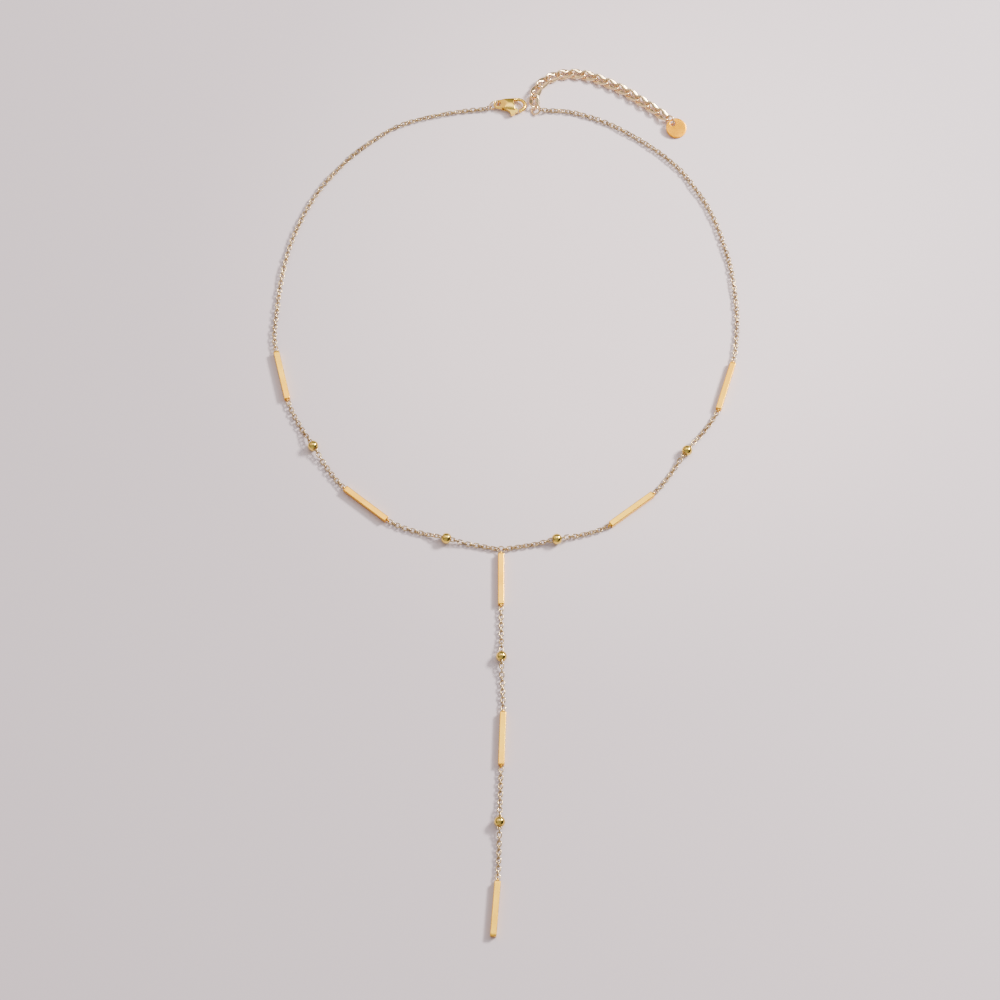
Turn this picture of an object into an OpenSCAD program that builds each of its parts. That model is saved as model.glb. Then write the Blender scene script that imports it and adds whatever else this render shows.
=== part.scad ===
// Y necklace of fine cable chain with square bars, round beads, a lobster clasp and an extender.
// It lies flat on z = 0, with the neck loop towards +Y and the drop towards -Y.

/* [Bars] */
// Length of each square bar without its eyes
bar_l = 15; // [14.8:0.1:15.2]
// Width and height of each bar
bar_w = 1.7; // [1.6:0.05:1.8]
// Radius of the rounded edges of a bar
bar_edge_r = 0.2; // [0.1:0.05:0.3]
// Wire of the small eye soldered on the end of a bar
eye_wire = 0.3; // [0.28:0.01:0.32]
// Distance from the end face of a bar to the middle of the wire at the tip of its eye
eye_reach = 0.8; // [0.78:0.01:0.85]

/* [Beads] */
// Diameter of each round bead
bead_d = 3; // [2.9:0.05:3.1]
// Diameter of the hole that the chain runs through
bead_bore_d = 1.75; // [1.75:0.05:1.9]

/* [Fine chain] */
// Outer length of an oval link
link_l = 1.95; // [1.95:0.01:2]
// Outer width of an oval link
link_w = 1.45; // [1.4:0.01:1.5]
// Wire of a fine link
link_wire = 0.3; // [0.26:0.01:0.3]
// Distance aimed at from one link to the next
link_pitch = 1.14; // [1.12:0.01:1.16]
// How far the links roll to and fro along the chain, in degrees
link_sway = 14; // [0:1:16]

/* [Clasp] */
// Thickness of the clasp's housing
clasp_t = 2.3; // [2.2:0.05:2.5]
// Width of the slot that the lever swings in
clasp_slot = 1.3; // [1.25:0.05:1.4]
// Thickness of the lever
lever_t = 1.1; // [1:0.05:1.1]
// Wire of the clasp's bow
bow_wire = 1; // [0.9:0.05:1.05]
// Diameter of the pin that the lever turns on
pin_d = 0.7; // [0.6:0.05:0.8]
// Gap round the pin in the lever's bore
pin_gap = 0.05; // [0.03:0.01:0.06]

/* [Rings] */
// Outer diameter of the ring between the chain and the clasp
clasp_ring_d = 3.15; // [3.1:0.05:3.2]
// Outer diameter of the ring that the clasp closes on
end_ring_d = 3.2; // [3.1:0.05:3.3]
// Outer diameter of the ring where the drop joins the neck loop
junction_ring_d = 2.2; // [2.15:0.05:2.25]
// Outer diameter of the ring that holds the tag
tag_ring_d = 3.1; // [3.05:0.05:3.2]

/* [Extender] */
// Number of links in the extender
extender_links = 14; // [14:1:14]
// Outer length of an extender link
curb_l = 5.5; // [5.5:0.05:5.55]
// Outer width of an extender link
curb_w = 3.2; // [3.15:0.05:3.25]
// Wire of an extender link at its bends
curb_wire = 0.7; // [0.66:0.01:0.7]
// Extra width of a link's two arms on their outer side, as a share of half the wire
curb_flare = 0.4; // [0.3:0.05:0.4]
// Extra width of the arms on the side of the link's hole, as a share of half the wire
curb_inner_flare = 1.5; // [1.2:0.1:1.6]
// Twist of an extender link from end to end, in degrees
curb_twist = 92; // [88:1:94]

/* [Tag] */
// Diameter of the round tag
tag_d = 6; // [5.8:0.1:6.2]
// Thickness of the tag
tag_t = 0.5; // [0.45:0.05:0.55]
// Diameter of the hole in the tag
tag_hole_d = 1.6; // [1.55:0.05:1.7]
// Angle at which the tag leans on its ring, in degrees
tag_lean = 13; // [12.5:0.5:13]

/* [Hidden] */
// Each bar: x and y of its middle, and the heading of the chain along it
left_upper_bar = [-63.1, 30.9, -76.5];
left_lower_bar = [-38.8, -8.1, -38.5];
right_upper_bar = [62, 27.7, -107.5];
right_lower_bar = [34.9, -9.7, -142.5];
drop_upper_bar = [-1.3, -30.3, -90];
drop_middle_bar = [-1, -76.1, -92];
drop_lower_bar = [-2.8, -123, -94.5];

// Each bead: x and y of its middle, and the heading of its hole
left_upper_bead = [-53.8, 9.2, -58];
left_lower_bead = [-16.4, -18.5, -16];
right_upper_bead = [50.6, 7.8, -126.5];
right_lower_bead = [14.1, -18.7, -166];
drop_upper_bead = [-1.2, -52.9, -90];
drop_lower_bead = [-1.7, -99.4, -91.5];

// Each ring: x, y and z of its middle
junction_ring_at = [-1.3, -21.6, bar_w / 2];
clasp_ring_at = [-3.35, 117.36, 1.51];
end_ring_at = [8.9, 116.1, 0.95];
tag_ring_at = [47.95, 112.4, 1.35];
// Where the two lower chains end in the junction ring, with their headings
left_meet = [junction_ring_at[0], junction_ring_at[1], -12];
right_meet = [junction_ring_at[0], junction_ring_at[1], -168];

// The clasp's own plan has its eye at 0, 0 and its bow towards +X
clasp_at = [-2.1, 117.8];
clasp_turn = -3;
clasp_ring_turn = 25;
clasp_ring_roll = 70;
end_ring_turn = 105;
end_ring_roll = -30;
tag_turn = 128;
tag_ring_roll = -54;

left_back_route = [
    [-65.1, 39.2], [-65.6, 44], [-65.1, 50.5], [-64.4, 58.5],
    [-63.3, 65.5], [-61.5, 73], [-58.7, 80.5], [-55.5, 87],
    [-52.3, 92], [-48.2, 97], [-44, 101.5], [-38.2, 106.3],
    [-31.8, 110.6], [-24.4, 113.3], [-14.5, 115.5], [-5, 116.5]
];
right_back_route = [
    [64.6, 35.9], [65.3, 41], [65.8, 48], [65.5, 56],
    [64.6, 64], [63, 71], [60.7, 78.8], [57.8, 85.5],
    [54.3, 91.3], [50.8, 96.3], [45.9, 101.2], [39.5, 106],
    [32.2, 110.6], [25, 113.8], [17.5, 115.8], [10.65, 116.2]
];
extender_route = [
    [8.9, 116.1], [8.4, 120.5], [10.4, 124.5], [14.1, 127.1],
    [19, 128.1], [24.2, 127.45], [29.5, 125.3], [34.8, 122.45],
    [39.55, 119.1], [44.1, 115.75], [47.95, 112.4]
];

// Wires of the rings
junction_wire = 0.35;
clasp_ring_wire = 0.4;
end_ring_wire = 0.5;
tag_ring_wire = 0.45;
// Gap between the wires of two pieces that hook each other
wire_gap = 0.15;
// Radius of the bend of a bar's eye, at the middle of its wire
eye_bend_r = 0.46;
// Height of the chain's axis where it lies on the surface
chain_z = link_w / 2 + 0.01;
// Height of the extender's axis
curb_z = 1;
// Distance from the middle of a ring to the middle of the wire of the extender link in it
hook_reach = 0.5;
// Length over which the chain comes down from a bar, and from a bead
bar_fall = 3;
bead_fall = 4.5;
// Half the straight stretch of chain in a bead
bead_straight = 1.7;
// Half the length of a link between the middles of its end wires
link_half = (link_l - link_wire) / 2;
curb_half = (curb_l - curb_wire) / 2;
// Bends and straight arms of an extender link, at the middle of its wire
curb_r = (curb_w - curb_wire * (1 + curb_flare)) / 2;
curb_straight = 2 * (curb_half - curb_r);
curb_bend = PI * curb_r;
// Distance from a link's middle at which its arms have come down to the plain wire, on either side
flare_reach = 1.2;
inner_flare_reach = 0.95;
// Distance from the end face of a bar to the middle of the first link
first_link = eye_reach - (eye_wire + link_wire) / 2 - wire_gap + link_half;
// Distance from the middle of the junction ring to the middle of its link
ring_link = (junction_ring_d - junction_wire) / 2 - (junction_wire + link_wire) / 2 - wire_gap + link_half;
// Points worked out on each half of a stretch of chain, and between two points of a route
half_steps = 24;
route_steps = 12;
// Heights at which the swept chains end, beside the ring of the clasp and beside the end ring
clasp_end_z = 1.2;
end_ring_end_z = 1.35;
tube_sides = 8;
tube_rings = 34;
// Radius at the corners of a tube whose flats are as far apart as a link is wide
tube_r = link_w / 2 / cos(180 / tube_sides);
curb_points = 24;
curb_sides = 6;
// Share of the way to a wire at which the point that it faces lies on the link's axis
inner_share = 0.7;
round_fn = 48;
// Eye of the clasp
eye_r = 1.4;
eye_hole_r = 0.8;
eye_t = 0.8;
// Bow of the clasp: middle and radius of its bend, and the angles at which it starts and ends
bow_at = [5.9, 0];
bow_r = 1.9;
bow_start = 108;
bow_end = -68;
// Ball at the bow's end, a little thicker than its wire
bow_ball_d = bow_wire + 0.1;
// Pin of the lever on the clasp's plan, radius of the lever round it, and cheek over each end of the pin
lever_pin_at = [2.05, -0.8];
lever_r = 0.7;
pin_cover = 0.25;
// Corner of the slot that is nearest the eye
slot_at = [1.25, 0.4];

// Plan and space

function unit(v) = v / norm(v);
function heading_of(v) = atan2(v[1], v[0]);
function ahead(place, distance) = [place[0], place[1]] + distance * [cos(place[2]), sin(place[2])];

// Point at t from 0 to 1 on the curve that leaves a towards heading_a and meets b at heading_b
function curve_point(a, heading_a, b, heading_b, t) =
    let (reach = norm(b - a) / 3)
    let (p = a + reach * [cos(heading_a), sin(heading_a)])
    let (q = b - reach * [cos(heading_b), sin(heading_b)])
    pow(1 - t, 3) * a + 3 * t * pow(1 - t, 2) * p + 3 * t * t * (1 - t) * q + pow(t, 3) * b;

// A smooth run of points through the points of a route
function route_point(r, i, t) =
    let (a = r[max(i - 1, 0)], b = r[i], c = r[i + 1], d = r[min(i + 2, len(r) - 1)])
    (2 * b + (c - a) * t + (2 * a - 5 * b + 4 * c - d) * t * t + (3 * b - a - 3 * c + d) * pow(t, 3)) / 2;
function smooth_route(r) = concat(
    [for (i = [0:len(r) - 2], k = [0:route_steps - 1]) route_point(r, i, k / route_steps)],
    [r[len(r) - 1]]
);

// Distance along a run of points to each of them, and the point at distance s
function distances(run, i = 0, sum = 0, out = []) =
    i >= len(run) ? out : distances(
        run, i + 1, sum + (i + 1 < len(run) ? norm(run[i + 1] - run[i]) : 0), concat(out, [sum])
    );
function span_of(marks, s, low, high) =
    high - low <= 1 ? low :
    let (middle = floor((low + high) / 2))
    marks[middle] <= s ? span_of(marks, s, middle, high) : span_of(marks, s, low, middle);
function along(run, marks, s) =
    let (i = span_of(marks, s, 0, len(run) - 1))
    run[i] + (run[i + 1] - run[i]) * (s - marks[i]) / (marks[i + 1] - marks[i]);
function last(list) = list[len(list) - 1];

// Share of a rise that is left at distance s from it, when it fades over reach
function fade(s, reach) = s >= reach ? 0 : (1 + cos(180 * s / reach)) / 2;

// Forms of wire

// Half a ring in the XY plane, open towards -X
module half_ring(r, wire) {
    rotate([0, 0, -90])
        rotate_extrude(angle = 180, $fn = round_fn)
            translate([r, 0])
                circle(d = wire, $fn = round_fn);
}

module ring(outer_d, wire) {
    rotate_extrude($fn = round_fn)
        translate([(outer_d - wire) / 2, 0])
            circle(d = wire, $fn = round_fn);
}

// One oval link with its length along X and its width along Y
module oval_link() {
    r = (link_w - link_wire) / 2;
    straight = link_l - link_w;
    for (side = [0, 180]) {
        rotate([0, 0, side]) {
            translate([straight / 2, 0, 0])
                half_ring(r, link_wire);
            translate([-straight / 2, r, 0])
                rotate([0, 90, 0])
                    cylinder(d = link_wire, h = straight, $fn = round_fn);
        }
    }
}

// Puts a piece whose length is along X at a point, along a direction, rolled about it
module set_along(point, direction, roll) {
    translate(point)
        rotate([0, -asin(unit(direction)[2]), heading_of(direction)])
            rotate([roll, 0, 0])
                children();
}

// Bars and beads

module rounded_square(w, h) {
    square([w - 2 * bar_edge_r, h], center = true);
    square([w, h - 2 * bar_edge_r], center = true);
    for (x = [-1, 1], y = [-1, 1]) {
        translate([x * (w / 2 - bar_edge_r), y * (h / 2 - bar_edge_r)])
            circle(r = bar_edge_r, $fn = round_fn);
    }
}

// A standing eye on the +X end of a bar
module bar_eye() {
    leg = eye_reach - eye_bend_r;
    rotate([90, 0, 0])
        translate([bar_l / 2, 0, 0]) {
            translate([leg, 0, 0])
                half_ring(eye_bend_r, eye_wire);
            for (side = [-1, 1]) {
                translate([-eye_wire, side * eye_bend_r, 0])
                    rotate([0, 90, 0])
                        cylinder(d = eye_wire, h = leg + eye_wire, $fn = round_fn);
            }
        }
}

module bar(place, ends) {
    color("#e6c184")
        translate([place[0], place[1], bar_w / 2])
            rotate([0, 0, place[2]]) {
                intersection() {
                    translate([-bar_l / 2, 0, 0])
                        rotate([90, 0, 90])
                            linear_extrude(bar_l)
                                rounded_square(bar_w, bar_w);
                    translate([0, 0, -bar_w / 2])
                        linear_extrude(bar_w)
                            rounded_square(bar_l, bar_w);
                    translate([0, bar_w / 2, 0])
                        rotate([90, 0, 0])
                            linear_extrude(bar_w)
                                rounded_square(bar_l, bar_w);
                }
                for (end = ends) {
                    rotate([0, 0, end])
                        bar_eye();
                }
            }
}

module bead(place) {
    color("#d2b06a")
        translate([place[0], place[1], bead_d / 2])
            rotate([0, 0, place[2]])
                rotate([0, 90, 0])
                    difference() {
                        sphere(d = bead_d, $fn = round_fn);
                        cylinder(d = bead_bore_d, h = bead_d + 1, center = true, $fn = round_fn);
                    }
}

// Fine chain

// A run of points from a bar or ring, through a bead, to the next bar or ring
function stretch_run(from, bead_place, to) =
    let (b = [bead_place[0], bead_place[1]])
    let (start = ahead(from, 0), end = ahead(to, 0))
    let (leave = (2 * from[2] + heading_of(b - start)) / 3, meet = (2 * to[2] + heading_of(end - b)) / 3)
    concat(
        [for (k = [0:half_steps - 1]) curve_point(start, leave, b, bead_place[2], k / half_steps)],
        [for (k = [0:half_steps]) curve_point(b, bead_place[2], end, meet, k / half_steps)]
    );

// Height of the chain at s: it comes down from both ends and rises to the hole of the bead
function chain_height(s, bead_s, end_s) =
    chain_z
    + (bar_w / 2 - chain_z) * (fade(s, bar_fall) + fade(end_s - s, bar_fall))
    + (bead_d / 2 - chain_z) * fade(max(0, abs(s - bead_s) - bead_straight), bead_fall);

// Links from a bar through a bead to the next bar, or to the junction ring
module chain_stretch(from, bead_place, to, to_ring = false) {
    run = stretch_run(from, bead_place, to);
    marks = distances(run);
    end_s = last(marks);
    bead_s = marks[half_steps];
    last_s = end_s - (to_ring ? ring_link : first_link);
    spare = to_ring ? 1 : 0;
    gaps = 2 * round(((last_s - first_link) / link_pitch - spare) / 2) + spare;
    pitch = (last_s - first_link) / gaps;
    points = [
        for (i = [-1:gaps + 1])
            let (s = min(max(first_link + i * pitch, 0), end_s))
            let (p = along(run, marks, s))
            [p[0], p[1], chain_height(s, bead_s, end_s)]
    ];
    color("#c9b48c")
        for (i = [0:gaps]) {
            set_along(points[i + 1], points[i + 2] - points[i], 90 * (i % 2) + link_sway * sin(23 * i))
                oval_link();
        }
}

function bar_tail(place) = [ahead(place, bar_l / 2)[0], ahead(place, bar_l / 2)[1], place[2]];
function bar_head(place) = [ahead(place, -bar_l / 2)[0], ahead(place, -bar_l / 2)[1], place[2]];

// The long stretches at the back of the neck, as one swept tube each

module swept_chain(route, end_z) {
    run = smooth_route(route);
    marks = distances(run);
    end_s = last(marks);
    middles = [
        for (i = [0:tube_rings - 1])
            let (s = end_s * i / (tube_rings - 1))
            let (p = along(run, marks, min(s, end_s - 0.001)))
            let (rise = (bar_w / 2 - chain_z) * fade(s, bar_fall))
            let (end_rise = (end_z - chain_z) * fade(end_s - s, bar_fall))
            [p[0], p[1], chain_z + rise + end_rise]
    ];
    points = [
        for (i = [0:tube_rings - 1])
            let (t = unit(middles[min(i + 1, tube_rings - 1)] - middles[max(i - 1, 0)]))
            let (side = unit(cross([0, 0, 1], t)), rise = cross(t, side))
            for (k = [0:tube_sides - 1])
                let (a = 360 * (k + 0.5) / tube_sides)
                middles[i] + tube_r * (cos(a) * side + sin(a) * rise)
    ];
    faces = concat(
        [[for (k = [0:tube_sides - 1]) k]],
        [
            for (i = [0:tube_rings - 2], k = [0:tube_sides - 1])
                let (a = i * tube_sides + k, b = i * tube_sides + (k + 1) % tube_sides)
                each [[a, b + tube_sides, b], [a, a + tube_sides, b + tube_sides]]
        ],
        [[for (k = [tube_sides - 1:-1:0]) (tube_rings - 1) * tube_sides + k]]
    );
    color("#c9b48c")
        polyhedron(points, faces);
}

// Extender and tag

// Plan of an extender link at distance s round it: an arm and a bend, then the other half opposite them
function curb_plan(s) =
    s < curb_straight ? [curb_straight / 2 - s, curb_r] :
    s >= curb_straight + curb_bend ? -curb_plan(s - curb_straight - curb_bend) :
    let (a = 90 + 180 * (s - curb_straight) / curb_bend)
    [-curb_straight / 2 + curb_r * cos(a), curb_r * sin(a)];

// Middle of the wire of a twisted link at distance s round it
function curb_middle(s) =
    let (p = curb_plan(s), turn = -curb_twist / 2 * p[0] / curb_half)
    [p[0], p[1] * cos(turn), p[1] * sin(turn)];

module curb_link() {
    step = 2 * (curb_straight + curb_bend) / curb_points;
    nudge = 0.01;
    points = [
        for (i = [0:curb_points - 1])
            let (s = (i + 0.5) * step, middle = curb_middle(s))
            let (t = unit(curb_middle(s + nudge) - curb_middle(s - nudge)))
            let (out = middle - [middle[0] * inner_share, 0, 0])
            let (side = unit(out - (out * t) * t), up = cross(t, side))
            let (outer = curb_flare * max(0, 1 - pow(middle[0] / flare_reach, 2)))
            let (inner = curb_inner_flare * max(0, 1 - pow(middle[0] / inner_flare_reach, 2)))
            for (k = [0:curb_sides - 1])
                let (b = 360 * k / curb_sides, flare = cos(b) > 0 ? outer : inner)
                middle + curb_wire / 2 * ((1 + flare) * cos(b) * side + sin(b) * up)
    ];
    faces = [
        for (i = [0:curb_points - 1], k = [0:curb_sides - 1])
            let (j = (i + 1) % curb_points, m = (k + 1) % curb_sides)
            let (a = i * curb_sides + k, b = i * curb_sides + m)
            let (c = j * curb_sides + m, d = j * curb_sides + k)
            each [[a, b, c], [a, c, d]]
    ];
    polyhedron(points, faces);
}

module extender_link(i) {
    run = smooth_route(extender_route);
    marks = distances(run);
    first_s = hook_reach + curb_half;
    last_s = last(marks) - first_s;
    pitch = (last_s - first_s) / (extender_links - 1);
    s = first_s + (i - 1) * pitch;
    middle = along(run, marks, s);
    way = along(run, marks, s + curb_half / 2) - along(run, marks, s - curb_half / 2);
    color("#c8ab78")
        set_along([middle[0], middle[1], curb_z], [way[0], way[1], 0], 0)
            curb_link();
}

module tag() {
    hole_at = (tag_ring_d - tag_ring_wire) / 2;
    edge = 1.3;
    middle = ahead([tag_ring_at[0], tag_ring_at[1], tag_turn], -hole_at);
    color("#e0a850")
        translate([middle[0], middle[1], tag_ring_at[2]])
            rotate([0, -tag_lean, tag_turn])
                translate([edge - tag_d / 2, 0, -tag_t / 2])
                    difference() {
                        cylinder(d = tag_d, h = tag_t, $fn = round_fn);
                        translate([tag_d / 2 - edge, 0, -1])
                            cylinder(d = tag_hole_d, h = tag_t + 2, $fn = round_fn);
                    }
}

module tag_ring() {
    color("#d8b878")
        translate(tag_ring_at)
            rotate([0, 0, tag_turn])
                rotate([tag_ring_roll, 0, 0])
                    ring(tag_ring_d, tag_ring_wire);
}

// Rings

module junction_ring() {
    color("#c9b48c")
        translate(junction_ring_at)
            ring(junction_ring_d, junction_wire);
}

module end_ring() {
    color("#c8ab78")
        translate(end_ring_at)
            rotate([0, 0, end_ring_turn])
                rotate([end_ring_roll, 0, 0])
                    ring(end_ring_d, end_ring_wire);
}

module clasp_ring() {
    color("#c8ab78")
        translate(clasp_ring_at)
            rotate([0, 0, clasp_ring_turn])
                rotate([clasp_ring_roll, 0, 0])
                    ring(clasp_ring_d, clasp_ring_wire);
}

// Clasp

module clasp_frame() {
    translate([clasp_at[0], clasp_at[1], clasp_t / 2])
        rotate([0, 0, clasp_turn])
            children();
}

module clasp_plan() {
    circle(r = eye_r, $fn = round_fn);
    polygon([
        [0, eye_r], [5.3, 2.35], [5.7, 1.9], [4.65, 1.4],
        [4.5, 0.4], [5.3, -2.1], [0, -eye_r]
    ]);
}

module clasp_side() {
    polygon([
        [-2, -eye_t / 2], [0.7, -eye_t / 2], [2, -clasp_t / 2], [5, -clasp_t / 2], [5.75, -bow_wire / 2],
        [5.75, bow_wire / 2], [5, clasp_t / 2], [2, clasp_t / 2], [0.7, eye_t / 2], [-2, eye_t / 2]
    ]);
}

module clasp_body() {
    color("#e0b868")
        clasp_frame() {
            difference() {
                intersection() {
                    translate([0, 0, -clasp_t])
                        linear_extrude(2 * clasp_t)
                            clasp_plan();
                    translate([0, 4, 0])
                        rotate([90, 0, 0])
                            linear_extrude(8)
                                clasp_side();
                }
                cylinder(r = eye_hole_r, h = 2 * clasp_t, center = true, $fn = round_fn);
                translate([slot_at[0], slot_at[1] - 6, -clasp_slot / 2])
                    cube([6, 6, clasp_slot]);
            }
            translate([lever_pin_at[0], lever_pin_at[1], 0])
                cylinder(d = pin_d, h = clasp_t - 2 * pin_cover, center = true, $fn = round_fn);
            translate([bow_at[0], bow_at[1], 0]) {
                rotate([0, 0, bow_end])
                    rotate_extrude(angle = bow_start - bow_end, $fn = round_fn)
                        translate([bow_r, 0])
                            circle(d = bow_wire, $fn = round_fn);
                translate([bow_r * cos(bow_end), bow_r * sin(bow_end), 0])
                    sphere(d = bow_ball_d, $fn = round_fn);
            }
        }
}

module lever_arm_plan() {
    polygon([
        [2.05, -0.15], [4.9, -1.05], [5.85, -1.35], [5.9, -2.2],
        [5.3, -2.5], [4.9, -3.3], [3.9, -3.4], [3.4, -2.35], [2.05, -1.45]
    ]);
}

module clasp_lever() {
    color("#e0b868")
        clasp_frame()
            difference() {
                translate([0, 0, -lever_t / 2]) {
                    linear_extrude(lever_t)
                        lever_arm_plan();
                    translate(lever_pin_at)
                        cylinder(r = lever_r, h = lever_t, $fn = round_fn);
                }
                translate([lever_pin_at[0], lever_pin_at[1], 0])
                    cylinder(d = pin_d + 2 * pin_gap, h = 2 * clasp_t, center = true, $fn = round_fn);
            }
}

bar(left_upper_bar, [0, 180]);  // bar_left_upper
bar(left_lower_bar, [0, 180]);  // bar_left_lower
bar(right_upper_bar, [0, 180]);  // bar_right_upper
bar(right_lower_bar, [0, 180]);  // bar_right_lower
bar(drop_upper_bar, [0, 180]);  // bar_drop_upper
bar(drop_middle_bar, [0, 180]);  // bar_drop_middle
bar(drop_lower_bar, [180]);  // bar_drop_lower
bead(left_upper_bead);  // bead_left_upper
bead(left_lower_bead);  // bead_left_lower
bead(right_upper_bead);  // bead_right_upper
bead(right_lower_bead);  // bead_right_lower
bead(drop_upper_bead);  // bead_drop_upper
bead(drop_lower_bead);  // bead_drop_lower
swept_chain(left_back_route, clasp_end_z);  // chain_left_back
swept_chain(right_back_route, end_ring_end_z);  // chain_right_back
chain_stretch(bar_tail(left_upper_bar), left_upper_bead, bar_head(left_lower_bar));  // chain_left_upper
chain_stretch(bar_tail(right_upper_bar), right_upper_bead, bar_head(right_lower_bar));  // chain_right_upper
chain_stretch(bar_tail(left_lower_bar), left_lower_bead, left_meet, true);  // chain_left_lower
chain_stretch(bar_tail(right_lower_bar), right_lower_bead, right_meet, true);  // chain_right_lower
chain_stretch(bar_tail(drop_upper_bar), drop_upper_bead, bar_head(drop_middle_bar));  // chain_drop_upper
chain_stretch(bar_tail(drop_middle_bar), drop_lower_bead, bar_head(drop_lower_bar));  // chain_drop_lower
junction_ring();
clasp_ring();
end_ring();
tag_ring();
tag();
clasp_body();
clasp_lever();
for (i = [1:extender_links]) {
    extender_link(i);
}
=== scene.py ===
# Y necklace: square bars and drilled beads on fine cable chain, with a lobster clasp, an extender and a tag.
import bmesh
import bpy
import math
import random
from mathutils import Matrix, Vector


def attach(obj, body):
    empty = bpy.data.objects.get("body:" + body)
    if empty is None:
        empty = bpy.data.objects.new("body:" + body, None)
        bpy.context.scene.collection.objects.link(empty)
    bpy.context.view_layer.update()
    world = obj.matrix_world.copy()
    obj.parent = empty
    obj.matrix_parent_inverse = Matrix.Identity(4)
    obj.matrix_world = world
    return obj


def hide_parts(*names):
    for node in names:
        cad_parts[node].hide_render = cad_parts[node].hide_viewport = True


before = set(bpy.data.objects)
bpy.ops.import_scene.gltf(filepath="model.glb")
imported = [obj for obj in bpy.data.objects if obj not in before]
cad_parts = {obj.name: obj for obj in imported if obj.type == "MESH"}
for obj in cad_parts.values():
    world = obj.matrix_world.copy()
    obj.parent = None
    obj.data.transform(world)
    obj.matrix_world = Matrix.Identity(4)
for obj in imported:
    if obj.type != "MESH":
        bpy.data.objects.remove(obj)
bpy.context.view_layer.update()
mm = 0.001
weldDistance = 0.002  # in mm, points of a mesh that lie closer become one
flatWeight = 80  # pull of the large faces on the shading of pieces with flats
print("frame loaded:", len(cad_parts), "nodes")

# Places are in millimetres on the plan: x, y, and the heading of the chain in degrees
barPlaces = {
    "bar_left_upper": (-63.1, 30.9, -76.5),
    "bar_left_lower": (-38.8, -8.1, -38.5),
    "bar_right_upper": (62, 27.7, -107.5),
    "bar_right_lower": (34.9, -9.7, -142.5),
    "bar_drop_upper": (-1.3, -30.3, -90),
    "bar_drop_middle": (-1, -76.1, -92),
    "bar_drop_lower": (-2.8, -123, -94.5),
}
beadPlaces = {
    "bead_left_upper": (-53.8, 9.2, -58),
    "bead_left_lower": (-16.4, -18.5, -16),
    "bead_right_upper": (50.6, 7.8, -126.5),
    "bead_right_lower": (14.1, -18.7, -166),
    "bead_drop_upper": (-1.2, -52.9, -90),
    "bead_drop_lower": (-1.7, -99.4, -91.5),
}
leftBackRoute = [
    (-65.1, 39.2), (-65.6, 44), (-65.1, 50.5), (-64.4, 58.5),
    (-63.3, 65.5), (-61.5, 73), (-58.7, 80.5), (-55.5, 87),
    (-52.3, 92), (-48.2, 97), (-44, 101.5), (-38.2, 106.3),
    (-31.8, 110.6), (-24.4, 113.3), (-14.5, 115.5), (-5, 116.5),
]
rightBackRoute = [
    (64.6, 35.9), (65.3, 41), (65.8, 48), (65.5, 56),
    (64.6, 64), (63, 71), (60.7, 78.8), (57.8, 85.5),
    (54.3, 91.3), (50.8, 96.3), (45.9, 101.2), (39.5, 106),
    (32.2, 110.6), (25, 113.8), (17.5, 115.8), (10.65, 116.2),
]
extenderRoute = [
    (8.9, 116.1), (8.4, 120.5), (10.4, 124.5), (14.1, 127.1),
    (19, 128.1), (24.2, 127.45), (29.5, 125.3), (34.8, 122.45),
    (39.55, 119.1), (44.1, 115.75), (47.95, 112.4),
]


# Meshes are worked out in millimetres and stored in metres

def addPiece(name, part, material, flats=False):
    verts, faces = part
    mesh = bpy.data.meshes.new(name)
    mesh.from_pydata([tuple(c * mm for c in v) for v in verts], [], faces)
    mesh.validate()
    for polygon in mesh.polygons:
        polygon.use_smooth = True
    mesh.materials.append(material)
    piece = bpy.data.objects.new(name, mesh)
    bpy.context.scene.collection.objects.link(piece)
    if flats:
        # Large flat faces stay flat, and the narrow faces round an edge carry the bend
        modifier = piece.modifiers.new("weighted", "WEIGHTED_NORMAL")
        modifier.weight = flatWeight
    return piece


def finishPiece(piece, slotName, *replaced, body="necklace"):
    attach(piece, body)
    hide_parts(*replaced)


def joined(parts):
    verts, faces = [], []
    for partVerts, partFaces in parts:
        start = len(verts)
        verts.extend(partVerts)
        faces.extend([tuple(i + start for i in f) for f in partFaces])
    return verts, faces


def moved(part, matrix):
    return [matrix @ Vector(v) for v in part[0]], part[1]


def rotation(degrees, axis):
    return Matrix.Rotation(math.radians(degrees), 4, axis)


# A place on the plan as a matrix whose X axis runs along the heading
def placeOf(x, y, z, heading, roll=0.0, climb=0.0):
    level = Matrix.Translation((x, y, z)) @ rotation(heading, "Z")
    return level @ rotation(-climb, "Y") @ rotation(roll, "X")


# Round outline at an exponent of 2, with flatter sides above it. The second axis can be pressed flat
def squareSection(sides, square, flat):
    section = []
    for k in range(sides):
        a = 2 * math.pi * k / sides
        u, v = math.cos(a), math.sin(a)
        across = math.copysign(abs(u) ** (2 / square), u)
        section.append((across, flat * math.copysign(abs(v) ** (2 / square), v)))
    return section


# Faces between rows of points. Each row closes on itself, and the rows do too or else end in caps
def gridFaces(rows, count, closed=True):
    faces = []
    for i in range(rows if closed else rows - 1):
        j = (i + 1) % rows
        for k in range(count):
            m = (k + 1) % count
            faces.append((i * count + k, i * count + m, j * count + m, j * count + k))
    if not closed:
        faces.append(tuple(range(count - 1, -1, -1)))
        faces.append(tuple((rows - 1) * count + k for k in range(count)))
    return faces


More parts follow.
